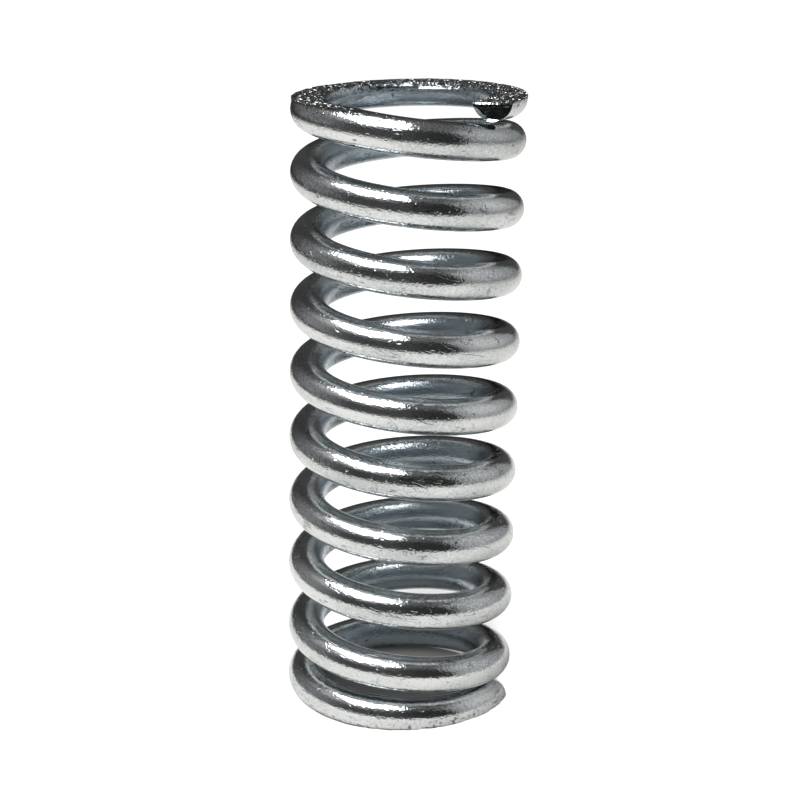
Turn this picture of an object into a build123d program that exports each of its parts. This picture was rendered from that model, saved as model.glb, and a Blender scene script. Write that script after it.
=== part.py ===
"""A left-hand helical compression spring of round wire, with closed and ground ends.

The coil stands upright on its lower ground face. The origin is in the plane of that face,
at the middle of the spring as seen from above, and +Z points straight up from the face.
Lengths are millimetres, angles are degrees.
"""
from build123d import *
import os
from math import cos, pi, radians, sin

# ---- Driving sizes ---------------------------------------------------------------------
outer_diameter = 18.9  # over the coils
wire_diameter = 3.0  # round drawn spring wire
free_length = 50.8  # unloaded, over the two ground faces
total_turns = 10.07  # from the lower tip to the upper tip, closed end turns included
upper_tip_bearing = -41.0  # of the upper tip round the axis, counter-clockwise from +X
upper_tip_thickness = 1.25  # of the wire that grinding leaves at the upper tip
lower_tip_thickness = 1.8  # of the wire that grinding leaves at the lower tip
tip_clearance = 0.06  # between each tip and the turn that it closes on
closing_turns = 0.68  # of each end turn, laid at the low closing pitch
easing_turns = 0.16  # of each end turn, over which the pitch opens up
lean = 1.8  # of the coil's axis towards +X, off square with its ground faces

# ---- Derived sizes ---------------------------------------------------------------------
wire_radius = wire_diameter / 2
coil_radius = outer_diameter / 2 - wire_radius  # of the wire's centre line
seat_rise = wire_diameter + tip_clearance  # climb of the centre line in each end turn
lower_tip_height = lower_tip_thickness - wire_radius
upper_tip_height = free_length - upper_tip_thickness + wire_radius
active_turns = total_turns - 2
active_pitch = (upper_tip_height - lower_tip_height - 2 * seat_rise) / active_turns
easing_middle = closing_turns + easing_turns / 2
closing_pitch = (seat_rise - active_pitch * (1 - easing_middle)) / easing_middle

# ---- Fineness of the wire's path -------------------------------------------------------
points_per_turn = 12


def eased_turns(turns):
    """Return how many turns of the full pitch are in so many turns from a tip."""
    past_closing = turns - closing_turns
    if past_closing <= 0:
        return 0
    if past_closing >= easing_turns:
        return turns - easing_middle
    swing = sin(pi * past_closing / easing_turns) / pi
    return (past_closing - easing_turns * swing) / 2


def climb(turns):
    """Return the rise of the wire's centre line in so many turns from a tip."""
    return closing_pitch * turns + (active_pitch - closing_pitch) * eased_turns(turns)


def centre_point(turns):
    """Return the wire's centre so many turns above the lower tip."""
    turns_left = total_turns - turns
    bearing = radians(upper_tip_bearing + 360 * turns_left)
    if turns < turns_left:
        height = lower_tip_height + climb(turns)
    else:
        height = upper_tip_height - climb(turns_left)
    return Vector(coil_radius * cos(bearing), coil_radius * sin(bearing), height)


def coiled_wire():
    """Return the wire as it comes off the coiling machine, with its two tips sheared square."""
    spans = round(total_turns * points_per_turn)
    path = Spline([centre_point(total_turns * i / spans) for i in range(spans + 1)])
    section = Plane(origin=path @ 0, z_dir=path % 0) * Circle(wire_radius)
    return sweep(section, path, is_frenet=True)


def ground_spring():
    """Return the coil, leaning as it is held, with its ends ground flat and parallel."""
    held_at = Axis((0, 0, free_length / 2), (0, 1, 0))
    between_wheels = Box(
        2 * outer_diameter,
        2 * outer_diameter,
        free_length,
        align=(Align.CENTER, Align.CENTER, Align.MIN),
    )
    return coiled_wire().rotate(held_at, lean) & between_wheels


os.makedirs("parts", exist_ok=True)
export_step(ground_spring(), "parts/coil_spring.step")
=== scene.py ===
"""The looks of a small left-hand compression spring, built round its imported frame.

The spring is one length of drawn steel wire, coiled, set leaning in the grinder, ground flat
at both ends and then zinc plated and passivated. It is modelled in that order: the wire's
section is swept up the coil, the end turns are closed, the ends are ground, the tips get their
sheared faces, and the lips and burrs that the tools leave are raised. Lengths are metres.
"""
from __future__ import annotations

import logging
import math
from collections.abc import Iterator
from contextlib import contextmanager
from dataclasses import dataclass
from enum import Enum

import bpy
import numpy as np
from mathutils import Matrix, Vector, noise

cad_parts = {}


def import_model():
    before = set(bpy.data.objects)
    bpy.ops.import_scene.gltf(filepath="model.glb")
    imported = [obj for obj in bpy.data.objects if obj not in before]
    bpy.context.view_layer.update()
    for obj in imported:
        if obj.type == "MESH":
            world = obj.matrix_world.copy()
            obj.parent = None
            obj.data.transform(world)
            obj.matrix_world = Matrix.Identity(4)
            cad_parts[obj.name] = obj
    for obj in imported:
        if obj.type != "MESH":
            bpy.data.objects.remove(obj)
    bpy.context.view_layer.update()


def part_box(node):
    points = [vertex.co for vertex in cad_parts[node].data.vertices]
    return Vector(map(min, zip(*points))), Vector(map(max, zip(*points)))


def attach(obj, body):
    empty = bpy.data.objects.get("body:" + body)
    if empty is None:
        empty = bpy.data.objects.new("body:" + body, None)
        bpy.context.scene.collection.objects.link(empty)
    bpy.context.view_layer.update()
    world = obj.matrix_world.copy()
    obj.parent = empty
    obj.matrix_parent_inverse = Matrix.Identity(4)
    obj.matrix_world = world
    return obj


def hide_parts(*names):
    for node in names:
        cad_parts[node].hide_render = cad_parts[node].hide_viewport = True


log = logging.getLogger("spring")

Source = bpy.types.Node | bpy.types.NodeSocket  # what an input can be linked from

MM = 0.001
COIL_NODE = "coil_spring"
BODY = "root"
WIRE_PLACE = "wire_place"
SNAP = 1e-7  # closer than this, a point lies on the grinding plane
MOST_SIDES = 8  # a face with more sides than this closes a tip of the wire


def linear(code: str) -> tuple[float, float, float, float]:
    """Turn an sRGB hex colour to the linear colour that a socket takes.

    Args:
        code: Six hex digits, such as "c8ccd0".

    Returns:
        Linear red, green and blue, and an alpha of 1.
    """
    levels = [int(code[i:i + 2], 16) / 255 for i in (0, 2, 4)]
    red, green, blue = [v / 12.92 if v <= 0.04045 else ((v + 0.055) / 1.055) ** 2.4 for v in levels]
    return red, green, blue, 1.0


def deselect_all() -> None:
    """Deselect every object, so that the next operator acts on its own piece alone."""
    bpy.ops.object.select_all(action="DESELECT")


@contextmanager
def editing(piece: bpy.types.Object, numbers: set[int] = frozenset()) -> Iterator[None]:
    """Hold a piece open for editing, with only some of its faces selected at first.

    Args:
        piece: The piece.
        numbers: Those faces' numbers.

    Yields:
        Nothing, while the piece is open.
    """
    deselect_all()
    piece.select_set(True)
    bpy.context.view_layer.objects.active = piece
    bpy.ops.object.mode_set(mode="EDIT")
    bpy.ops.mesh.select_mode(type="FACE")
    bpy.ops.mesh.select_all(action="DESELECT")
    bpy.ops.object.mode_set(mode="OBJECT")
    for face in piece.data.polygons:
        face.select = face.index in numbers
    bpy.ops.object.mode_set(mode="EDIT")
    yield
    bpy.ops.object.mode_set(mode="OBJECT")


def read_points(mesh: bpy.types.Mesh) -> np.ndarray:
    """Read where a mesh's points are.

    Args:
        mesh: The mesh.

    Returns:
        One row of x, y and z for each point.
    """
    points = np.empty(len(mesh.vertices) * 3)
    mesh.vertices.foreach_get("co", points)
    return points.reshape(-1, 3)


def write_points(mesh: bpy.types.Mesh, points: np.ndarray) -> None:
    """Move a mesh's points to new places, one row each."""
    mesh.vertices.foreach_set("co", points.ravel())
    mesh.update()


def read_place(mesh: bpy.types.Mesh) -> np.ndarray:
    """Read where a mesh's points are on the straight wire.

    Args:
        mesh: The wire's mesh.

    Returns:
        One row for each point: along the wire, and out and up from its centre.
    """
    place = np.empty(len(mesh.vertices) * 3, np.float32)
    mesh.attributes[WIRE_PLACE].data.foreach_get("vector", place)
    return place.reshape(-1, 3).astype(float)


def lumps(points: np.ndarray, width: float, seed: float) -> np.ndarray:
    """Give points smooth noise."""
    shift = Vector((seed, 2 * seed, -seed))
    return np.array([noise.noise(Vector(point) + shift) for point in points / width])


def window(away: np.ndarray, reach: float | np.ndarray, plateau: float = 1.0) -> np.ndarray:
    """Single out what lies near a middle, with 1 there that falls evenly to 0 at a reach."""
    return np.clip(plateau - plateau * away / reach, 0, 1)


def turned_from(bearing: np.ndarray, middle: float) -> np.ndarray:
    """Return how many degrees bearings are turned from a middle one, to either side."""
    return np.abs((bearing - middle + 180) % 360 - 180)


class Face(Enum):
    """The kinds of surface that the wire has, in the order of the piece's material slots."""

    DRAWN = 0
    GROUND = 1
    SHEARED = 2


class End(Enum):
    """The two ends of the spring, each with the direction that its ground face points in."""

    LOWER = -1
    UPPER = 1


class Fade(Enum):
    """How a patch of light or shade goes over into what is round it."""

    EVEN = "LINEAR"
    SOFT = "SMOOTHSTEP"


class Nodes:
    """Builds the node tree of a material or of the world, one short call for each node."""

    def __init__(self, owner: bpy.types.Material | bpy.types.World) -> None:
        """Empty the owner's tree and keep it at hand.

        Args:
            owner: The material or the world.
        """
        owner.use_nodes = True
        self.tree = owner.node_tree
        self.tree.nodes.clear()

    def add(self, kind: str, values: dict[str | int, object] | None = None,
            **settings: str) -> bpy.types.Node:
        """Add a node with its settings, its sockets' values and its links.

        Args:
            kind: The node's type name, without the leading "ShaderNode".
            values: Input socket names or indices. Each has a value, a socket to link from, or a
                node, which stands for the first of its outputs that is in use.
            **settings: The node's own properties.

        Returns:
            The new node.
        """
        node = self.tree.nodes.new("ShaderNode" + kind)
        for name, value in settings.items():
            setattr(node, name, value)
        for name, value in (values or {}).items():
            socket = node.inputs[name]
            if not socket.enabled:
                socket = next(one for one in node.inputs if one.name == name and one.enabled)
            if isinstance(value, bpy.types.Node):
                value = next(one for one in value.outputs if one.enabled)
            if isinstance(value, bpy.types.NodeSocket):
                self.tree.links.new(value, socket)
            else:
                socket.default_value = value
        return node


class PlatedSteel:
    """What the spring's finishes share: each is bare metal to the eye, with a tone of its own."""

    name: str

    def material(self) -> bpy.types.Material:
        """Make the finish.

        Returns:
            The material.
        """
        material = bpy.data.materials.new(self.name)
        nodes = Nodes(material)
        shader = nodes.add("BsdfPrincipled", {"Metallic": 1.0, **self.surface(nodes)})
        nodes.add("OutputMaterial", {"Surface": shader})
        return material

    def surface(self, nodes: Nodes) -> dict[str, Source | float]:
        """Add the nodes of the finish's own surface."""
        raise NotImplementedError


@dataclass(frozen=True)
class Spot:
    """What the plate's nodes know of the spot on the wire that they shade.

    Attributes:
        place: Along the wire, and out and up from its centre, in metres.
        inward: 1 inside the coil and below, 0 outside it and above. Where it is 1 the plate is
        duller, and its colour takes painted shade, darker and bluer.
        patches: Broad noise, in which the finish varies along the wire.
        grain: The fine noise of the drawing marks.
        wear: 1 where the plate is battered beside a ground face, 0 away from it.
        nicks: 1 in a pit, 0 outside.
        scratches: 1 in a scratch, 0 outside.
    """

    place: Source
    inward: Source
    patches: Source
    grain: Source
    wear: Source
    nicks: Source
    scratches: Source


@dataclass(frozen=True)
class ZincPlate(PlatedSteel):
    """Bright zinc plate on drawn wire, under a clear bluish passivate.

    To the eye it is a slightly rippled mirror, speckled where its bright and dark parts meet.
    The plate is thin, so the marks of the drawing die show through it as a fine grain. Real ones
    are a few hundredths of a millimetre wide. Those would be too fine to show, and they are drawn
    as coarse as they need to show. The plate grows in small pimples, and the tumbling of loose
    springs against each other leaves pits, nicks and scratches. Inside the coil the plating
    current is weak: there the plate is duller and more uneven. There, and on the undersides,
    its colour is darker and bluer, which is painted shade.

    Noise runs from about 0.2 to 0.8. The levels of it at which something starts and is whole
    are given where they are used.

    Attributes:
        free_length: Of the spring, from one ground face to the other.
    """

    free_length: float
    name: str = "zinc_plate_bright_passivated"
    colour: str = "dee1e2"
    blotch: str = "bcc1c3"
    # painted shade: the darker, bluer colour inside the coil and on its undersides
    inside: str = "b4bec5"
    pit: str = "2e3030"

    roughness: float = 0.07
    blotch_roughness: float = 0.13
    inside_roughness: float = 0.17

    # The swells of the plate, like those of orange peel, the drawing grain and the pimples.
    peel_width: float = 0.30 * MM
    peel_stretch: float = 1.6
    peel_height: float = 0.0105 * MM
    grain_width: float = 0.075 * MM
    grain_stretch: float = 1.3
    grain_height: float = 0.021 * MM
    pimple_width: float = 0.25 * MM
    pimple_height: float = 0.018 * MM
    pimple_share: float = 0.55  # of the places that could have one

    # How many times stronger the relief is in the calmest and the liveliest patches, inside the
    # coil for its swells and pimples and for its grain, and for pimples beside a ground face.
    patch_width: float = 1.5 * MM
    patch_stretch: float = 2.0
    calm: float = 0.15
    lively: float = 1.65
    inside_swell: float = 1.3
    inside_grain: float = 1.9
    worn_pimples: float = 2.5

    # The marks, and how dark each kind is.
    nick_spacing: float = 0.55 * MM
    nick_stretch: float = 2.0
    nick_raggedness: float = 0.14 * MM
    nick_depth: float = 0.022 * MM
    nick_darkness: float = 0.6
    scratch_width: float = 0.45 * MM
    scratch_length: float = 0.5 * MM
    scratch_runs: tuple[tuple[float, float, float], ...] = (
        (0.1, 5.0, 3.0),  # radians off the wire, stretch, and shift of the noise
        (0.9, 1.6, 9.0),
    )
    scratch_depth: float = 0.008 * MM
    scratch_darkness: float = 0.55
    chip_width: float = 0.16 * MM
    chip_darkness: float = 0.75
    wear_reach: float = 0.8 * MM

    # How far out from the wire's centre the coil's inside starts and is whole, and the share of
    # the height above the centre that counts as out.
    inside_start: float = 0.2 * MM
    inside_whole: float = -1.1 * MM
    inside_tilt: float = 0.35

    def surface(self, nodes: Nodes) -> dict[str, Source | float]:
        """Add the nodes of the surface.

        Args:
            nodes: Of the material.

        Returns:
            The shader's inputs.
        """
        place = nodes.add("Attribute", attribute_name=WIRE_PLACE).outputs["Vector"]
        patches = self.drawn_out(nodes, place, self.patch_width, self.patch_stretch, detail=1.5)
        spot = Spot(
            place=place,
            inward=self.inwardness(nodes, place),
            patches=patches,
            grain=self.drawn_out(nodes, place, self.grain_width, self.grain_stretch),
            wear=self.wear(nodes, patches),
            nicks=self.nicks(nodes, place),
            scratches=self.scratches(nodes, place),
        )
        height = self.relief(nodes, spot)
        for mark, depth in ((spot.nicks, self.nick_depth), (spot.scratches, self.scratch_depth)):
            height = nodes.add("Math", {0: mark, 1: -depth, 2: height}, operation="MULTIPLY_ADD")
        bump = nodes.add("Bump", {"Height": height, "Strength": 1.0, "Distance": 1.0})
        outer = nodes.add("MapRange", {"Value": patches, "From Min": 0.3, "From Max": 0.75,
                                       "To Min": self.roughness, "To Max": self.blotch_roughness})
        roughness = nodes.add("Mix", {"Factor": spot.inward, "A": outer, "B": self.inside_roughness})
        return {"Base Color": self.tone(nodes, spot), "Roughness": roughness, "Normal": bump}

    def wear(self, nodes: Nodes, patches: Source) -> Source:
        """Add how battered the plate is, which goes by the distance to the nearest ground face.

        Args:
            nodes: Of the material.
            patches: The broad noise, which makes the edge of the battered part uneven.

        Returns:
            1 beside a ground face, 0 away from it.
        """
        height = nodes.add("SeparateXYZ", {0: nodes.add("TexCoord").outputs["Object"]}).outputs["Z"]
        under = nodes.add("Math", {0: self.free_length, 1: height}, operation="SUBTRACT")
        nearest = nodes.add("Math", {0: height, 1: under}, operation="MINIMUM")
        outer = nodes.add("Math", {0: patches, 1: 2 * self.wear_reach}, operation="MULTIPLY")
        inner = nodes.add("Math", {0: outer, 1: -self.wear_reach / 2})
        return nodes.add("MapRange", {"Value": nearest, "From Min": outer, "From Max": inner})

    def chips(self, nodes: Nodes, spot: Spot) -> Source:
        """Add the small chips out of the battered plate.

        Args:
            nodes: Of the material.
            spot: The spot on the wire.

        Returns:
            How dark the spot is for them, 0 outside the chips.
        """
        field = self.drawn_out(nodes, spot.place, self.chip_width)
        chip = nodes.add("MapRange", {"Value": field, "From Min": 0.56, "From Max": 0.64,
                                      "To Max": self.chip_darkness})
        return nodes.add("Math", {0: chip, 1: spot.wear}, operation="MULTIPLY")

    def tone(self, nodes: Nodes, spot: Spot) -> Source:
        """Add the plate's colour: blotched and grained outside, painted shade inside, dark in its marks.

        Args:
            nodes: Of the material.
            spot: The spot on the wire.

        Returns:
            The colour.
        """
        mottle = nodes.add("Math", {0: spot.patches, 1: spot.grain})
        blotch = nodes.add("MapRange", {"Value": mottle, "From Min": 0.88, "From Max": 1.2})
        # the chips, nicks and scratches are drawn darker, towards the pit colour
        mark_darkness = self.chips(nodes, spot)
        for mark, darkness in ((spot.nicks, self.nick_darkness), (spot.scratches, self.scratch_darkness)):
            dark = nodes.add("Math", {0: mark, 1: darkness}, operation="MULTIPLY")
            mark_darkness = nodes.add("Math", {0: mark_darkness, 1: dark}, operation="MAXIMUM")
        tone = linear(self.colour)
        # the inside of the coil and its undersides are darkened and blued: painted shade
        for share, other in ((blotch, self.blotch), (spot.inward, self.inside), (mark_darkness, self.pit)):
            tone = nodes.add("Mix", {"Factor": share, "A": tone, "B": linear(other)}, data_type="RGBA")
        return tone

    @staticmethod
    def in_lumps(nodes: Nodes, place: Source, width: float, stretch: float) -> Source:
        """Add the place on the wire, measured in lumps instead of metres."""
        return nodes.add("VectorMath", {0: place, 1: (1 / (width * stretch), 1 / width, 1 / width)},
                         operation="MULTIPLY")

    def drawn_out(self, nodes: Nodes, place: Source, width: float, stretch: float = 1.0,
                  detail: float = 2.0) -> Source:
        """Add lumpy noise that is drawn out along the wire."""
        measured = self.in_lumps(nodes, place, width, stretch)
        return nodes.add("TexNoise", {"Vector": measured, "Scale": 0.5, "Detail": detail})

    def relief(self, nodes: Nodes, spot: Spot) -> Source:
        """Add the height of the plated surface: orange peel, drawing grain and pimples, in patches.

        Args:
            nodes: Of the material.
            spot: The spot on the wire.

        Returns:
            The height in metres.
        """
        peel = self.drawn_out(nodes, spot.place, self.peel_width, self.peel_stretch, detail=1.0)
        pimples = nodes.add("Math", {0: self.pimples(nodes, spot.place), 1: self.pimple_height},
                            operation="MULTIPLY")
        broad = nodes.add("Math", {0: peel, 1: self.peel_height, 2: pimples}, operation="MULTIPLY_ADD")
        patchy = nodes.add("MapRange", {"Value": spot.patches, "From Min": 0.38, "From Max": 0.66,
                                        "To Min": self.calm, "To Max": self.lively})
        swell = nodes.add("MapRange", {"Value": spot.inward, "To Min": 1.0, "To Max": self.inside_swell})
        strength = nodes.add("Math", {0: patchy, 1: swell}, operation="MULTIPLY")
        deep = nodes.add("MapRange", {"Value": spot.inward, "To Min": self.grain_height,
                                      "To Max": self.grain_height * self.inside_grain})
        fine = nodes.add("Math", {0: spot.grain, 1: deep}, operation="MULTIPLY")
        even = nodes.add("Math", {0: broad, 1: strength, 2: fine}, operation="MULTIPLY_ADD")
        worn = nodes.add("Math", {0: spot.wear, 1: self.worn_pimples}, operation="MULTIPLY")
        return nodes.add("Math", {0: pimples, 1: worn, 2: even}, operation="MULTIPLY_ADD")

    def pimples(self, nodes: Nodes, place: Source) -> Source:
        """Add small round bumps of many sizes, on about half of their places.

        Args:
            nodes: Of the material.
            place: Along the wire, out and up, in metres.

        Returns:
            1 on top of the largest ones, 0 between them.
        """
        cells = nodes.add("TexVoronoi", {"Vector": place, "Scale": 1 / self.pimple_width})
        pick = nodes.add("SeparateColor", {0: cells.outputs["Color"]}).outputs["Green"]
        size = nodes.add("MapRange", {"Value": pick, "From Min": 1 - self.pimple_share})
        dome = nodes.add("MapRange", {"Value": cells, "From Min": 0.42, "From Max": 0.0},
                         interpolation_type=Fade.SOFT.value)
        return nodes.add("Math", {0: dome, 1: size}, operation="MULTIPLY")

    def nicks(self, nodes: Nodes, place: Source) -> Source:
        """Add small ragged pits where springs struck each other.

        Args:
            nodes: Of the material.
            place: Along the wire, out and up, in metres.

        Returns:
            1 in a pit, 0 outside.
        """
        measured = self.in_lumps(nodes, place, self.nick_spacing, self.nick_stretch)
        cells = nodes.add("TexVoronoi", {"Vector": measured, "Scale": 1.0})
        pick = nodes.add("SeparateColor", {0: cells.outputs["Color"]}).outputs["Red"]
        size = nodes.add("MapRange", {"Value": pick, "From Min": 0.5, "To Max": 0.45})
        ragged = self.drawn_out(nodes, place, self.nick_raggedness)
        edge = nodes.add("Math", {0: ragged, 1: size}, operation="MULTIPLY")
        bottom = nodes.add("Math", {0: edge, 1: 0.09}, operation="SUBTRACT")
        return nodes.add("MapRange", {"Value": cells, "From Min": edge, "From Max": bottom})

    def scratches(self, nodes: Nodes, place: Source) -> Source:
        """Add short fine scratches: one run of them along the wire and one across it.

        Args:
            nodes: Of the material.
            place: Along the wire, out and up, in metres.

        Returns:
            1 in a scratch, 0 outside.
        """
        runs = []
        for angle, stretch, shift in self.scratch_runs:
            turned = nodes.add("VectorRotate", {"Vector": place, "Angle": angle}, rotation_type="Y_AXIS")
            shifted = nodes.add("VectorMath", {0: turned, 1: (shift, shift, shift)})
            field = self.drawn_out(nodes, shifted, self.scratch_width, stretch)
            level = nodes.add("Math", {0: field, 1: 0.5}, operation="SUBTRACT")
            away = nodes.add("Math", {0: level}, operation="ABSOLUTE")
            line = nodes.add("MapRange", {"Value": away, "From Min": 0.018, "From Max": 0.005})
            where = self.drawn_out(nodes, shifted, self.scratch_length, stretch=1.5, detail=1.0)
            short = nodes.add("MapRange", {"Value": where, "From Min": 0.56, "From Max": 0.66})
            runs.append(nodes.add("Math", {0: line, 1: short}, operation="MULTIPLY"))
        return nodes.add("Math", {0: runs[0], 1: runs[1]}, operation="MAXIMUM")

    def inwardness(self, nodes: Nodes, place: Source) -> Source:
        """Add how far the surface faces down into the coil.

        Args:
            nodes: Of the material.
            place: Along the wire, out and up, in metres.

        Returns:
            0 outside the coil and above, 1 inside it and below.
        """
        parts = nodes.add("SeparateXYZ", {0: place})
        off = nodes.add("Math", {0: parts.outputs["Z"], 1: self.inside_tilt, 2: parts.outputs["Y"]},
                        operation="MULTIPLY_ADD")
        return nodes.add("MapRange", {"Value": off, "From Min": self.inside_start,
                                      "From Max": self.inside_whole}, interpolation_type=Fade.SOFT.value)


@dataclass(frozen=True)
class GroundPlate(PlatedSteel):
    """The end faces as a coarse wheel left them, plated over.

    To the eye they are dark, and sparkle where a facet that the grit cut happens to face a light.
    """

    name: str = "ground_face_plated"
    colour: str = "c2c5c6"
    groove: str = "484b4c"
    roughness: float = 0.24
    facet_width: float = 0.125 * MM
    facet_tilt: float = 1.45
    groove_spacing: float = 5 / 18 * MM

    def surface(self, nodes: Nodes) -> dict[str, Source | float]:
        """Add the nodes of the surface.

        Args:
            nodes: Of the material.

        Returns:
            The shader's inputs.
        """
        place = nodes.add("TexCoord").outputs["Object"]
        cells = nodes.add("TexVoronoi", {"Vector": place, "Scale": 1 / self.facet_width})
        lean = nodes.add("VectorMath", {0: cells.outputs["Color"], 1: (0.5, 0.5, 0.5)},
                         operation="SUBTRACT")
        tilt = nodes.add("VectorMath", {0: lean, "Scale": self.facet_tilt}, operation="SCALE")
        facing = nodes.add("VectorMath", {0: nodes.add("NewGeometry").outputs["Normal"], 1: tilt})
        facet = nodes.add("VectorMath", {0: facing}, operation="NORMALIZE")
        shade = nodes.add("TexNoise", {"Vector": place, "Scale": 1 / self.groove_spacing, "Detail": 2.0})
        dark = nodes.add("MapRange", {"Value": shade, "From Min": 0.4, "From Max": 0.65})
        tone = nodes.add("Mix", {"Factor": dark, "A": linear(self.colour), "B": linear(self.groove)},
                         data_type="RGBA")
        return {"Base Color": tone, "Roughness": self.roughness, "Normal": facet}


@dataclass(frozen=True)
class ShearedPlate(PlatedSteel):
    """The wire's cut tips, torn steel that takes the plate thinly: to the eye, nearly black."""

    name: str = "sheared_tip_plated"
    colour: str = "3a3c3b"
    torn: str = "1c1d1d"
    roughness: float = 0.42
    tear_spacing: float = 3 / 7 * MM
    tear_depth: float = 0.06 * MM

    def surface(self, nodes: Nodes) -> dict[str, Source | float]:
        """Add the nodes of the surface.

        Args:
            nodes: Of the material.

        Returns:
            The shader's inputs.
        """
        place = nodes.add("TexCoord").outputs["Object"]
        tears = nodes.add("TexNoise", {"Vector": place, "Scale": 1 / self.tear_spacing, "Detail": 3.0})
        tone = nodes.add("Mix", {"Factor": tears, "A": linear(self.colour), "B": linear(self.torn)},
                         data_type="RGBA")
        bump = nodes.add("Bump", {"Height": tears, "Strength": 1.0, "Distance": self.tear_depth})
        return {"Base Color": tone, "Roughness": self.roughness, "Normal": bump}


@dataclass(frozen=True)
class Band:
    """Points of the wire that lie near one of its ground faces.

    Attributes:
        end: Which end's face.
        numbers: The points' numbers.
        below: How far each lies under the face.
        out: How far each is out from the wire's centre.
        turns: How far up the wire each is.
    """

    end: End
    numbers: np.ndarray
    below: np.ndarray
    out: np.ndarray
    turns: np.ndarray


@dataclass
class CoiledWire:
    """The spring itself: one wire, coiled left-hand, closed at its ends and ground flat.

    Bearings are in degrees anticlockwise from +X, seen from above.

    Attributes:
        outer_diameter: Over the coils.
        free_length: Over the two ground faces.
    """

    outer_diameter: float
    free_length: float
    wire_diameter: float = 3.0 * MM
    total_turns: float = 10.07
    upper_tip_bearing: float = -41.0
    upper_tip_thickness: float = 1.25 * MM
    lower_tip_thickness: float = 1.8 * MM
    tip_clearance: float = 0.06 * MM  # from each tip to the next turn
    closing_turns: float = 0.68  # laid nearly shut at each end
    easing_turns: float = 0.16  # over which the pitch then opens
    lean: float = 1.8  # degrees off square with the ground faces, towards +X
    tip_skew: float = 22.0  # degrees by which the upper tip is cut askew
    skew_reach: float = 0.12  # turns

    # The lips that the wheel smears out over the edges of a ground face.
    lip: float = 0.05 * MM
    lip_depth: float = 0.45 * MM
    lip_wave: float = 1.3 * MM
    lip_tooth: float = 0.33 * MM
    lip_raggedness: float = 0.09 * MM
    broad_lip: float = 0.24 * MM
    broad_lip_bearing: float = 178.0
    broad_lip_reach: float = 40.0
    sides_apart: float = 5 * MM  # so that the inner and the outer lip are ragged in their own ways

    # The part of a ground face's inner edge that is taken down.
    rounded_bearing: float = 72.0
    rounded_reach: float = 36.0
    rounded_width: float = 0.9 * MM
    rounded_slope: float = 0.8
    rounded_tooth: float = 0.4 * MM

    wheel_marks: float = 0.05 * MM
    mark_width: float = 0.5 * MM
    grit_width: float = 0.16 * MM

    section_sides: int = 32
    steps_per_turn: int = 160

    def __post_init__(self) -> None:
        """Work out the sizes that follow from the fields."""
        self.wire_radius = self.wire_diameter / 2
        self.coil_radius = self.outer_diameter / 2 - self.wire_radius
        seat_rise = self.wire_diameter + self.tip_clearance
        self.lower_tip_height = self.lower_tip_thickness - self.wire_radius
        self.upper_tip_height = self.free_length - self.upper_tip_thickness + self.wire_radius
        rise = self.upper_tip_height - self.lower_tip_height - 2 * seat_rise
        self.active_pitch = rise / (self.total_turns - 2)
        easing_middle = self.closing_turns + self.easing_turns / 2
        open_rise = self.active_pitch * (1 - easing_middle)
        self.closing_pitch = (seat_rise - open_rise) / easing_middle
        self.turn_length = math.hypot(2 * math.pi * self.coil_radius, self.active_pitch)

    def end_height(self, end: End) -> float:
        """Return the height of an end's ground face."""
        return self.free_length if end is End.UPPER else 0.0

    def bearing(self, turns: np.ndarray) -> np.ndarray:
        """Return the bearing of the wire so many turns above the lower tip."""
        return self.upper_tip_bearing + 360 * (self.total_turns - turns)

    def eased_turns(self, turns: np.ndarray) -> np.ndarray:
        """Work out how many turns of the full pitch there are so far from a tip.

        Args:
            turns: How far from the tip.

        Returns:
            The part of those turns that has the full pitch.
        """
        past_closing = np.clip(turns - self.closing_turns, 0, self.easing_turns)
        swing = np.sin(np.pi * past_closing / self.easing_turns) / np.pi
        easing = (past_closing - self.easing_turns * swing) / 2
        return easing + np.maximum(turns - self.closing_turns - self.easing_turns, 0)

    def climb(self, turns: np.ndarray) -> np.ndarray:
        """Return the rise of the wire's centre line in so many turns from a tip."""
        return self.closing_pitch * turns + (self.active_pitch - self.closing_pitch) * self.eased_turns(turns)

    def centre_height(self, turns: np.ndarray) -> np.ndarray:
        """Work out the height of the wire's centre line.

        Args:
            turns: How far up the wire from the lower tip.

        Returns:
            The heights on the upright coil.
        """
        below = self.lower_tip_height + self.climb(turns)
        above = self.upper_tip_height - self.climb(self.total_turns - turns)
        return np.where(turns < self.total_turns / 2, below, above)

    def build(self) -> bpy.types.Object:
        """Model the spring in the order in which it is made.

        Returns:
            The spring's one piece.
        """
        piece = self.sweep_section()
        self.close_ends(piece)
        for end in End:
            self.grind(piece, end)
        self.shear_tips(piece)
        self.sort_faces(piece)
        self.roughen(piece)
        self.tear_tips(piece)
        return piece

    def sweep_section(self) -> bpy.types.Object:
        """Sweep the wire's round section up a coil of even pitch.

        Returns:
            The wire with open tips, ring after ring from the lower tip up.
        """
        deselect_all()
        bpy.ops.mesh.primitive_circle_add(
            vertices=self.section_sides,
            radius=self.wire_radius,
            location=(self.coil_radius, 0, 0),
            rotation=(math.pi / 2, 0, 0),
        )
        piece = bpy.context.active_object
        piece.name = "plated_spring"
        bpy.ops.object.transform_apply(location=True, rotation=True, scale=True)
        sweep = piece.modifiers.new("sweep", "SCREW")
        sweep.axis = "Z"
        sweep.angle = -math.radians(360 * self.total_turns)
        sweep.screw_offset = self.free_length
        sweep.steps = round(self.total_turns * self.steps_per_turn)
        sweep.render_steps = sweep.steps
        sweep.use_merge_vertices = False
        bpy.ops.object.modifier_apply(modifier=sweep.name)
        return piece

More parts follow.
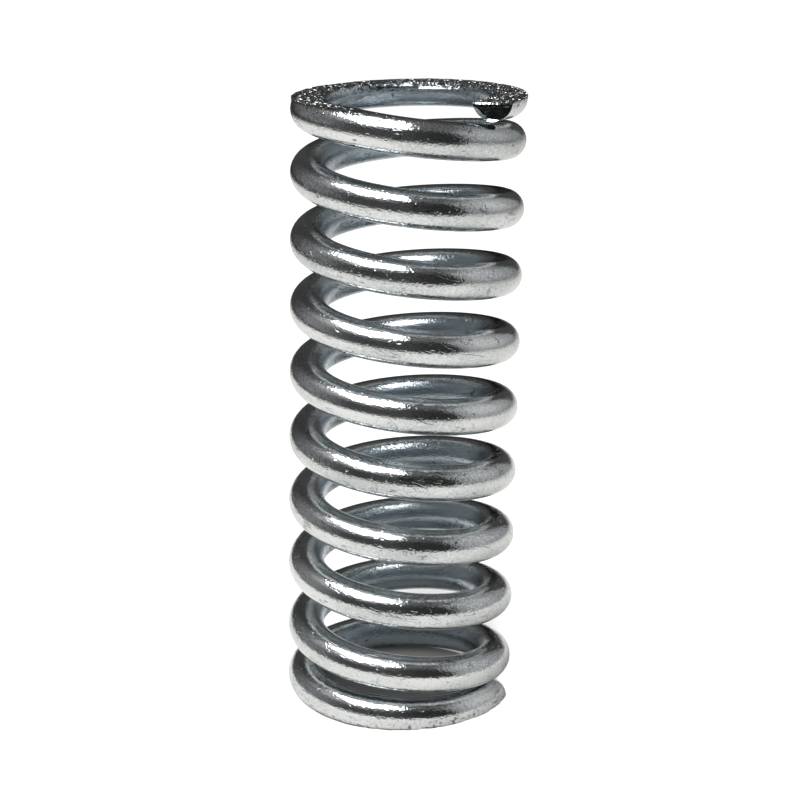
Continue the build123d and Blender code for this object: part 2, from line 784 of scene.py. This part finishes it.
    def wire_point(self, turns: np.ndarray, out: np.ndarray, up: np.ndarray) -> np.ndarray:
        """Work out where points of the wire lie on the leaning coil.

        Args:
            turns: How far up the wire each point is from the lower tip.
            out: How far each point is out from the wire's centre, away from the coil's axis.
            up: How far each point is up from the wire's centre, along the coil's axis.

        Returns:
            One row of x, y and z for each point.
        """
        bearing = np.radians(self.bearing(turns))
        across = self.coil_radius + out
        x, y = across * np.cos(bearing), across * np.sin(bearing)
        z = self.centre_height(turns) + up - self.free_length / 2
        lean = math.radians(self.lean)
        return np.column_stack([
            x * math.cos(lean) + z * math.sin(lean),
            y,
            self.free_length / 2 - x * math.sin(lean) + z * math.cos(lean),
        ])

    def close_ends(self, piece: bpy.types.Object) -> None:
        """Bring the coil to its true heights and lean, and note each point's place on the wire.

        Args:
            piece: The wire swept at an even pitch.
        """
        mesh = piece.data
        swept = read_points(mesh)
        rings = len(swept) // self.section_sides
        turns = np.repeat(np.linspace(0, self.total_turns, rings), self.section_sides)
        up = swept[:, 2] - self.free_length * turns / self.total_turns
        out = np.hypot(swept[:, 0], swept[:, 1]) - self.coil_radius
        turns = self.skew_tip(turns, out)
        write_points(mesh, self.wire_point(turns, out, up))
        place = mesh.attributes.new(WIRE_PLACE, "FLOAT_VECTOR", "POINT")
        run = turns * self.turn_length
        place.data.foreach_set("vector", np.column_stack([run, out, up]).astype(np.float32).ravel())

    def skew_tip(self, turns: np.ndarray, out: np.ndarray) -> np.ndarray:
        """Cut the upper tip askew, so that the outside of the wire is taken back further.

        Args:
            turns: How far up the wire each point is from the lower tip.
            out: How far each point is out from the wire's centre.

        Returns:
            The new turns, changed only near the upper tip.
        """
        turn = 2 * math.pi * self.coil_radius
        taken = (out + self.wire_radius) * math.tan(math.radians(self.tip_skew)) / turn
        return turns - taken * window(self.total_turns - turns, self.skew_reach)

    def grind(self, piece: bpy.types.Object, end: End) -> None:
        """Take one end of the coil down to its flat face.

        The wheel's plane first cuts an edge right round what it takes off. All that stands
        proud of the plane is then laid down on it.

        Args:
            piece: The coiled wire.
            end: Which end.
        """
        height = self.end_height(end)
        with editing(piece):
            bpy.ops.mesh.select_all(action="SELECT")
            bpy.ops.mesh.bisect(plane_co=(0, 0, height), plane_no=(0, 0, end.value))
        points = read_points(piece.data)
        proud = (points[:, 2] - height) * end.value > SNAP
        points[proud, 2] = height
        write_points(piece.data, points)

    def shear_tips(self, piece: bpy.types.Object) -> None:
        """Close the wire's two open tips with one face each, and turn all faces outwards.

        Args:
            piece: The ground coil, open at its tips.
        """
        with editing(piece):
            bpy.ops.mesh.select_mode(type="EDGE")
            bpy.ops.mesh.select_non_manifold(extend=False)
            bpy.ops.mesh.fill_holes(sides=0)
            bpy.ops.mesh.select_all(action="SELECT")
            bpy.ops.mesh.normals_make_consistent(inside=False)

    def sort_faces(self, piece: bpy.types.Object) -> None:
        """Put each face into the material slot of its kind, by where it lies.

        Args:
            piece: The spring with its ends ground and its tips closed.
        """
        for finish in (ZincPlate(self.free_length), GroundPlate(), ShearedPlate()):
            piece.data.materials.append(finish.material())
        heights = read_points(piece.data)[:, 2]
        for face in piece.data.polygons:
            corners = heights[list(face.vertices)]
            kind = Face.DRAWN
            if len(corners) > MOST_SIDES:
                kind = Face.SHEARED
            elif np.all(corners < SNAP) or np.all(corners > self.free_length - SNAP):
                kind = Face.GROUND
            face.material_index = kind.value
            face.use_smooth = kind is Face.DRAWN

    def roughen(self, piece: bpy.types.Object) -> None:
        """Give the ground faces their lips, their rounded edge and their wheel marks.

        Args:
            piece: The spring, sorted into kinds of face.
        """
        ground = {face.index for face in piece.data.polygons if face.material_index == Face.GROUND.value}
        with editing(piece, ground):
            bpy.ops.mesh.subdivide(number_cuts=2)
        points = read_points(piece.data)
        for end in End:
            flat = self.band(piece, end, SNAP)
            self.raise_lips(points, self.band(piece, end, self.lip_depth))
            self.round_inner_edge(points, flat)
            self.mark_flat(points, flat)
        write_points(piece.data, points)

    def band(self, piece: bpy.types.Object, end: End, depth: float) -> Band:
        """Find the points of the wire that lie near a ground face.

        Args:
            piece: The spring.
            end: Which end's face.
            depth: How far below the face they lie at most.

        Returns:
            The points.
        """
        below = (self.end_height(end) - read_points(piece.data)[:, 2]) * end.value
        numbers = np.flatnonzero(below < depth)
        run, out, _ = read_place(piece.data)[numbers].T
        return Band(end, numbers, below[numbers], out, run / self.turn_length)

    def raise_lips(self, points: np.ndarray, near: Band) -> None:
        """Smear the metal over the edges of a ground face, into uneven lips.

        Args:
            points: Of the whole piece, changed in place.
            near: Those near the ground face.
        """
        bearing = self.bearing(near.turns)
        side = np.sign(near.out)
        broad = window(turned_from(bearing, self.broad_lip_bearing), self.broad_lip_reach) ** 0.5
        size = self.lip + self.broad_lip * broad * (near.end is End.UPPER) * (near.out > 0)
        along = np.column_stack([near.turns * self.turn_length, side * self.sides_apart, 0 * side])
        wave = 1 + 0.5 * lumps(along, self.lip_wave, seed=3.0 + near.end.value)
        ragged = self.lip_raggedness * lumps(along, self.lip_tooth, seed=11.0 + near.end.value)
        # Nothing over the middle quarter of the wire's width, and whole only close to its edges.
        edge = np.clip(np.abs(near.out) / self.wire_radius * 1.6 - 0.4, 0, 1)
        fade = (1 - near.below / self.lip_depth) ** 2
        push = side * edge * fade * (size * wave + ragged)
        points[near.numbers, 0] += push * np.cos(np.radians(bearing))
        points[near.numbers, 1] += push * np.sin(np.radians(bearing))

    def round_inner_edge(self, points: np.ndarray, flat: Band) -> None:
        """Take down the inner edge of a ground face, raggedly, where the wheel leaves it last.

        Args:
            points: Of the whole piece, changed in place.
            flat: Those on the ground face.
        """
        end = flat.end.value
        rise = (self.end_height(flat.end) - self.centre_height(flat.turns)) * end
        half_chord = np.sqrt(np.clip(self.wire_radius ** 2 - rise ** 2, 0, None))
        off_middle = turned_from(self.bearing(flat.turns), self.rounded_bearing)
        places = points[flat.numbers] * (1, 1, 0)
        ragged = 0.75 + 0.5 * lumps(places, self.rounded_tooth, seed=61.0 + end)
        width = self.rounded_width * window(off_middle, self.rounded_reach, plateau=1.6) * ragged
        into = window(flat.out + half_chord, np.maximum(width, SNAP))
        points[flat.numbers, 2] -= end * self.rounded_slope * width * into

    def mark_flat(self, points: np.ndarray, flat: Band) -> None:
        """Cut the grinding wheel's uneven marks into a ground face.

        Args:
            points: Of the whole piece, changed in place.
            flat: Those on the ground face.
        """
        places = points[flat.numbers] * (1, 1, 0)
        coarse = lumps(places, self.mark_width, seed=20.0 + flat.end.value)
        grit = lumps(places, self.grit_width, seed=31.0 + flat.end.value)
        depth = self.wheel_marks * np.clip(0.35 + 0.45 * coarse + 0.55 * grit, 0, 1)
        points[flat.numbers, 2] -= flat.end.value * depth

    def tear_tips(self, piece: bpy.types.Object) -> None:
        """Give each sheared face its burr, its rolled corner and its torn, uneven middle.

        Args:
            piece: The spring with its ends ground and roughened.
        """
        for end in End:
            cap = next(face for face in piece.data.polygons if len(face.vertices) > MOST_SIDES
                       and abs(face.center.z - self.end_height(end)) < self.wire_diameter)
            rim = read_points(piece.data)[list(cap.vertices)]
            ShearedTip(end, np.array(cap.normal), rim).tear(piece, cap.index)

    def fit_inside(self, piece: bpy.types.Object, low: Vector, high: Vector) -> None:
        """Rub down whatever stands out of the spring's box, from its low to its high corner."""
        write_points(piece.data, np.clip(read_points(piece.data), tuple(low), tuple(high)))


@dataclass(frozen=True)
class TornRing:
    """One ring of edges on a torn tip, somewhere between the wire's skin and the middle.

    Attributes:
        inset: How far in from the skin it lies.
        flat_inset: How much further in along the flat side.
        roll_inset: How much further in at the rolled corner.
        tongue_inset: How much further in at the tongue.
        finish: Of the faces just outside it.
    """

    inset: float
    flat_inset: float
    roll_inset: float
    tongue_inset: float
    finish: Face


@dataclass
class ShearedTip:
    """One sheared end of the wire: a D seen end on, with its flat side on the ground face.

    The blade rolls over the corner that it meets first, on the coil's inside. The steel tears,
    and a tongue of it is left standing opposite the flat side. The wheel leaves a burr along
    the flat side.

    Attributes:
        end: Which end of the spring it is at.
        heading: The direction the face looks in.
        rim: The points round the face.
    """

    end: End
    heading: np.ndarray
    rim: np.ndarray
    flat_band: float = 0.1 * MM
    flat_slant: float = 0.15  # so that the flat side is drawn in almost square to itself
    roll_start: float = 0.45 * MM  # inwards from the middle
    roll_reach: float = 0.5 * MM
    roll_top: float = 0.3 * MM  # below the flat side
    roll_back: float = 0.22 * MM
    tongue_middle: float = -0.2 * MM
    tongue_reach: float = 0.75 * MM
    tongue: float = 0.22 * MM
    burr: float = 0.10 * MM
    burr_end: float = 0.7 * MM
    notch_middle: float = -0.1 * MM
    notch_reach: float = 0.1 * MM
    burr_stump: float = 0.25  # what share of the burr is left in its notch and past its end
    step_back: float = 0.05 * MM
    tear_width: float = 0.3 * MM
    tear_depth: float = 0.08 * MM
    rings: tuple[TornRing, ...] = (
        TornRing(0.04 * MM, 0.10 * MM, 0.40 * MM, 0.18 * MM, Face.DRAWN),
        TornRing(0.09 * MM, 0.10 * MM, 0.36 * MM, 0.14 * MM, Face.SHEARED),
        TornRing(0.35 * MM, 0.0, 0.30 * MM, 0.0, Face.SHEARED),
    )

    def __post_init__(self) -> None:
        """Find the D's own axes and its middle, and sort its rim into flat side, roll and tongue."""
        flatwards = np.array((0, 0, float(self.end.value)))
        flatwards = flatwards - self.heading * (flatwards @ self.heading)
        self.flatwards = flatwards / np.linalg.norm(flatwards)
        outwards = np.cross(self.heading, self.flatwards)
        self.outwards = outwards * np.sign(outwards @ (self.rim.mean(axis=0) * (1, 1, 0)))
        across, along = self.rim @ self.outwards, self.rim @ self.flatwards
        middle = (along.max() + along.min()) / 2
        below = along.max() - along
        self.across = across - (across.max() + across.min()) / 2
        self.along = along - middle
        self.flat = (below < self.flat_band).astype(float)
        self.roll = np.clip((-self.roll_start - self.across) / self.roll_reach, 0, 1)
        self.roll *= below > self.roll_top
        self.lobe = window(np.abs(self.across - self.tongue_middle), self.tongue_reach, plateau=1.5)
        self.lobe *= self.along < 0

    def moved(self, inset: np.ndarray, proud: np.ndarray) -> np.ndarray:
        """Draw the rim in towards the middle and push it out along the heading.

        Args:
            inset: How far each point is drawn in.
            proud: How far each point is pushed out.

        Returns:
            The new points.
        """
        across = -self.across * np.where(self.flat > 0, self.flat_slant, 1.0)
        along = -self.along
        reach = np.hypot(across, along)
        inwards = (across[:, None] * self.outwards + along[:, None] * self.flatwards) / reach[:, None]
        return self.rim + inset[:, None] * inwards + proud[:, None] * self.heading

    def tear(self, piece: bpy.types.Object, cap: int) -> None:
        """Model the torn face over the plain one.

        Args:
            piece: The spring.
            cap: The plain face's number.
        """
        level = np.zeros(len(self.rim))
        in_notch = np.abs(self.across - self.notch_middle) <= self.notch_reach
        whole = np.where(in_notch | (self.across >= self.burr_end), self.burr_stump, 1.0)
        burr = self.flat * self.burr * (0.8 + 0.5 * lumps(self.rim, self.tear_width, seed=41.0)) * whole
        torn = self.tear_depth * lumps(self.rim, self.tear_width, seed=52.0)
        self.set_corners(piece, cap, level, self.tongue * self.lobe - self.roll_back * self.roll)
        for ring, proud in zip(self.rings, (burr, level - self.step_back, torn)):
            inset = ring.inset + self.flat * ring.flat_inset
            inset += self.roll * ring.roll_inset + self.lobe * ring.tongue_inset
            cap = self.extrude(piece, cap, ring.finish)
            self.set_corners(piece, cap, inset, proud)
        with editing(piece, {cap}):
            bpy.ops.mesh.poke()

    def set_corners(self, piece: bpy.types.Object, cap: int, inset: np.ndarray,
                    proud: np.ndarray) -> None:
        """Put the corners of one face where the rim's points come when they are moved.

        Args:
            piece: The spring.
            cap: The face's number.
            inset: How far each point is drawn in.
            proud: How far each point is pushed out.
        """
        points = read_points(piece.data)
        points[list(piece.data.polygons[cap].vertices)] = self.moved(inset, proud)
        write_points(piece.data, points)

    @staticmethod
    def extrude(piece: bpy.types.Object, cap: int, finish: Face) -> int:
        """Extrude one face in place and give the new sides their finish.

        Args:
            piece: The spring.
            cap: The face's number.
            finish: Of the sides.

        Returns:
            The face's new number.
        """
        with editing(piece, {cap}):
            bpy.ops.mesh.extrude_region_move()
        cap = next(face.index for face in piece.data.polygons if face.select)
        ring = set(piece.data.polygons[cap].vertices)
        for face in piece.data.polygons:
            if face.index != cap and ring.intersection(face.vertices):
                face.material_index = finish.value
                face.use_smooth = False
        return cap


@dataclass(frozen=True)
class Card:
    """One soft-edged patch of the room that the plate mirrors, as the spring sees it.

    Attributes:
        bearing: Of its middle, in degrees anticlockwise from +X.
        half_width: In degrees each way from the middle to the middle of its edge.
        low: Elevation of its lower edge in degrees.
        high: Elevation of its upper edge in degrees.
        side_softness: Over how many degrees its left and right edges fade.
        top_softness: Over how many degrees its upper and lower edges fade.
        glow: Its radiance. A black flag, which takes away the room's own glow, is below zero.
    """

    bearing: float
    half_width: float
    low: float
    high: float
    side_softness: float
    top_softness: float
    glow: float


@dataclass(frozen=True)
class Oval:
    """One soft-edged oval patch of the floor.

    Attributes:
        middle: Its place along X and Y.
        reach: From its middle to its edge, along X and along Y.
        core: At what share of the reach it starts to fade.
        end: At what share of the reach it has faded.
        inside: Its value in the core.
        outside: Its value past its end.
        fade: How it goes over from the one to the other.
    """

    middle: tuple[float, float]
    reach: tuple[float, float]
    core: float
    end: float
    inside: float
    outside: float
    fade: Fade


@dataclass
class Studio:
    """A white paper floor, one large softbox overhead, a dim room with pale cards, and the camera.

    Angles are in degrees.

    Attributes:
        spring_height: From the floor to the upper ground face.
        bore_radius: Of the hole down the coil.
    """

    spring_height: float
    bore_radius: float

    view_distance: float = 183.5 * MM
    view_elevation: float = 16.25
    view_pan: float = -0.095
    view_tilt: float = -0.035
    view_roll: float = -0.886
    lens: float = 99.74
    sensor: float = 36.0

    # The softbox's left, front, right and back edges are shares of its height above the spring.
    softbox_height: float = 450 * MM
    softbox_edges: tuple[float, float, float, float] = (-0.70, -0.70, 0.12, 0.18)
    softbox_radiance: float = 8.2
    room_glow: float = 0.036
    cards: tuple[Card, ...] = (
        Card(15, 43, -20, 50, 3, 14, 0.30),
        Card(12, 24, 6, 46, 30, 34, 0.28),
        Card(165, 28, -20, 60, 55, 20, 0.21),
        Card(85, 30, -20, 60, 40, 30, 0.03),
        Card(89, 7, -20, 18, 9, 16, -0.062),
        Card(-125, 50, -20, 70, 40, 30, 0.035),
        Card(-150, 52, 38, 90, 40, 16, 0.30),
        Card(20, 110, 52, 120, 40, 24, 0.11),
    )

    # The paper is white round its middle and in a tongue out to the right, and goes grey past
    # its edge.
    floor_size: float = 3.0
    paper: str = "e6e4e0"
    grey_paper: str = "565452"
    paper_middle: tuple[float, float] = (0.02, 0.07)
    paper_edge: tuple[float, float] = (0.13, 0.27)
    tongue_bearing: float = 20.0
    tongue_half_width: float = 55.0
    tongue_softness: float = 10.0

    # The camera sees the paper's own shading dimmed, and over it a white that stops at the
    # spring's foot, apart from a painted pool of light at the back of the bore, and is weaker in a
    # painted shadow.
    dimming: float = 0.78
    foot_middle: tuple[float, float] = (-1.0 * MM, 0.5 * MM)
    foot_past_bore: float = 1.9 * MM
    foot_softness: float = 0.5 * MM
    painted_light_pool: Oval = Oval((-0.8 * MM, 5.2 * MM), (7.5 * MM, 3.2 * MM), 0.6, 1.0, 0.2, 0.02, Fade.EVEN)
    shadow: Oval = Oval((1.5 * MM, 12 * MM), (7.5 * MM, 15 * MM), 0.6, 1.15, 0.58, 1.0, Fade.SOFT)

    def build(self) -> None:
        """Set up the floor, the light, the room and the camera."""
        self.add_floor()
        self.add_softbox()
        self.add_room()
        self.add_camera()

    def add_floor(self) -> None:
        """Lay the paper floor under the spring."""
        deselect_all()
        bpy.ops.mesh.primitive_plane_add(size=self.floor_size, location=(0, 0, 0))
        floor = bpy.context.active_object
        floor.name = "floor"
        floor.data.materials.append(self.matt_paper())

    def matt_paper(self) -> bpy.types.Material:
        """Make the floor's paper: matt, and to the eye white all round the spring.

        Returns:
            The material.
        """
        material = bpy.data.materials.new("matt_white_paper")
        nodes = Nodes(material)
        place = nodes.add("TexCoord").outputs["Object"]
        seen = nodes.add("LightPath").outputs["Is Camera Ray"]
        paper = nodes.add("Mix", {"Factor": self.greyness(nodes, place), "A": linear(self.paper),
                                  "B": linear(self.grey_paper)}, data_type="RGBA")
        matt = nodes.add("BsdfDiffuse", {"Color": paper})
        dim = nodes.add("Math", {0: seen, 1: self.dimming}, operation="MULTIPLY")
        shaded = nodes.add("MixShader", {0: dim, 1: matt})
        lift = nodes.add("Math", {0: self.wash(nodes, place), 1: seen}, operation="MULTIPLY")
        bounce = nodes.add("Emission", {"Color": linear("ffffff"), "Strength": lift})
        both = nodes.add("AddShader", {0: shaded, 1: bounce})
        nodes.add("OutputMaterial", {"Surface": both})
        return material

    def greyness(self, nodes: Nodes, place: Source) -> Source:
        """Add how grey the paper is, which is so past its edge and outside its tongue.

        Args:
            nodes: Of the floor's material.
            place: On the floor.

        Returns:
            0 where it is white, 1 where it is grey.
        """
        off = nodes.add("VectorMath", {0: place, 1: (*self.paper_middle, 0)}, operation="DISTANCE")
        inner, outer = self.paper_edge
        past = nodes.add("MapRange", {"Value": off, "From Min": inner, "From Max": outer},
                         interpolation_type=Fade.SOFT.value)
        aside = self.aside(nodes, place, self.tongue_bearing)
        half, softness = self.tongue_half_width, self.tongue_softness
        beside = nodes.add("MapRange", {"Value": aside, "From Min": math.radians(half - softness / 2),
                                        "From Max": math.radians(half + softness / 2)})
        return nodes.add("Math", {0: past, 1: beside}, operation="MULTIPLY")

    def wash(self, nodes: Nodes, place: Source) -> Source:
        """Add the white that the camera sees on the paper, with its painted pool of light and shadow.

        Args:
            nodes: Of the floor's material.
            place: On the floor.

        Returns:
            Its radiance, about 1 on the clear floor.
        """
        foot = self.bore_radius + self.foot_past_bore
        off_foot = nodes.add("VectorMath", {0: place, 1: (*self.foot_middle, 0)}, operation="DISTANCE")
        clear = nodes.add("MapRange", {"Value": off_foot, "From Min": foot,
                                       "From Max": foot + self.foot_softness})
        # painted pool of light at the back of the bore, added to the white; the painted shadow then weakens
        # both
        pale = nodes.add("Math", {0: clear, 1: self.oval(nodes, place, self.painted_light_pool)})
        return nodes.add("Math", {0: pale, 1: self.oval(nodes, place, self.shadow)}, operation="MULTIPLY")

    @staticmethod
    def oval(nodes: Nodes, place: Source, oval: Oval) -> Source:
        """Add the nodes of one oval patch of the floor.

        Args:
            nodes: Of the floor's material.
            place: On the floor.
            oval: The patch.

        Returns:
            The patch's value there.
        """
        across, along = oval.middle
        off = nodes.add("VectorMath", {0: place, 1: (-across, -along, 0)})
        across, along = oval.reach
        shares = nodes.add("VectorMath", {0: off, 1: (1 / across, 1 / along, 0)}, operation="MULTIPLY")
        away = nodes.add("VectorMath", {0: shares}, operation="LENGTH")
        return nodes.add("MapRange", {"Value": away, "From Min": oval.core, "From Max": oval.end,
                                      "To Min": oval.inside, "To Max": oval.outside},
                         interpolation_type=oval.fade.value)

    def add_softbox(self) -> None:
        """Hang the one large softbox level overhead, a little to the left and the front."""
        above = self.softbox_height
        left, front, right, back = (edge * above for edge in self.softbox_edges)
        middle = ((left + right) / 2, (front + back) / 2, self.spring_height + above)
        bpy.ops.object.light_add(type="AREA", location=middle)
        lamp = bpy.context.active_object
        lamp.name = "softbox"
        lamp.data.shape = "RECTANGLE"
        lamp.data.size = right - left
        lamp.data.size_y = back - front
        lamp.data.energy = self.softbox_radiance * math.pi * (right - left) * (back - front)

    def add_room(self) -> None:
        """Make the room: white behind the spring for the camera, dim with pale cards for the plate."""
        world = bpy.data.worlds.new("dim_room")
        bpy.context.scene.world = world
        nodes = Nodes(world)
        towards = nodes.add("TexCoord").outputs["Generated"]
        height = nodes.add("SeparateXYZ", {0: towards}).outputs["Z"]
        elevation = nodes.add("Math", {0: height}, operation="ARCSINE")
        total = self.room_glow
        for card in self.cards:
            total = nodes.add("Math", {0: total, 1: self.card_glow(nodes, card, towards, elevation)})
        seen = nodes.add("LightPath").outputs["Is Camera Ray"]
        shown = nodes.add("Mix", {"Factor": seen, "A": total, "B": 1.0})
        room = nodes.add("Background", {"Color": linear("ffffff"), "Strength": shown})
        nodes.add("OutputWorld", {"Surface": room})

    @staticmethod
    def aside(nodes: Nodes, towards: Source, middle: float) -> Source:
        """Add how far a direction lies to either side of a bearing.

        Args:
            nodes: Of the floor's material or the world.
            towards: The direction.
            middle: The bearing in degrees.

        Returns:
            The angle between them in radians, seen from above.
        """
        turned = nodes.add("VectorRotate", {"Vector": towards, "Angle": -math.radians(middle)},
                           rotation_type="Z_AXIS")
        sides = nodes.add("SeparateXYZ", {0: turned}).outputs
        bearing = nodes.add("Math", {0: sides["Y"], 1: sides["X"]}, operation="ARCTAN2")
        return nodes.add("Math", {0: bearing}, operation="ABSOLUTE")

    def card_glow(self, nodes: Nodes, card: Card, towards: Source, elevation: Source) -> Source:
        """Add the nodes that give one card's radiance.

        Args:
            nodes: Of the world.
            card: The patch.
            towards: The direction looked in.
            elevation: Its elevation in radians.

        Returns:
            The card's radiance in that direction.
        """
        middle = math.radians(card.low + card.high) / 2
        from_middle = nodes.add("Math", {0: elevation, 1: middle}, operation="SUBTRACT")
        above = nodes.add("Math", {0: from_middle}, operation="ABSOLUTE")
        glow = card.glow
        for away, half, softness in (
            (self.aside(nodes, towards, card.bearing), card.half_width, card.side_softness),
            (above, (card.high - card.low) / 2, card.top_softness),
        ):
            within = nodes.add("MapRange", {
                "Value": away,
                "From Min": math.radians(half + softness / 2),
                "From Max": math.radians(half - softness / 2),
            }, interpolation_type=Fade.SOFT.value)
            glow = nodes.add("Math", {0: glow, 1: within}, operation="MULTIPLY")
        return glow

    def add_camera(self) -> None:
        """Stand the camera in front of the spring, looking down at its middle."""
        elevation = math.radians(self.view_elevation)
        middle = self.spring_height / 2
        place = Vector((
            0,
            -self.view_distance * math.cos(elevation),
            middle + self.view_distance * math.sin(elevation),
        ))
        pitch = elevation + math.radians(self.view_tilt)
        yaw = math.radians(self.view_pan)
        ahead = Vector((math.sin(yaw) * math.cos(pitch), math.cos(yaw) * math.cos(pitch), -math.sin(pitch)))
        right = ahead.cross(Vector((0, 0, 1))).normalized()
        up = right.cross(ahead)
        roll = math.radians(self.view_roll)
        turned_right = math.cos(roll) * right + math.sin(roll) * up
        turned_up = math.cos(roll) * up - math.sin(roll) * right
        axes = Matrix((turned_right, turned_up, -ahead)).transposed().to_4x4()
        data = bpy.data.cameras.new("view")
        data.lens = self.lens
        data.sensor_width = self.sensor
        data.clip_start = 1 * MM
        camera = bpy.data.objects.new("view", data)
        camera.matrix_world = Matrix.Translation(place) @ axes
        bpy.context.scene.collection.objects.link(camera)
        bpy.context.scene.camera = camera


def main() -> None:
    """Build the spring and its studio."""
    logging.basicConfig(level=logging.INFO, format="%(name)s: %(message)s")
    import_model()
    low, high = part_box(COIL_NODE)
    wire = CoiledWire(outer_diameter=high.y - low.y, free_length=high.z - low.z)
    piece = wire.build()
    wire.fit_inside(piece, low, high)
    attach(piece, BODY)
    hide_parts(COIL_NODE)
    log.info("%s: %d faces", piece.name, len(piece.data.polygons))
    Studio(spring_height=high.z, bore_radius=wire.coil_radius - wire.wire_radius).build()
    view = bpy.context.scene.view_settings
    view.view_transform = "Standard"


if __name__ == "__main__":
    main()
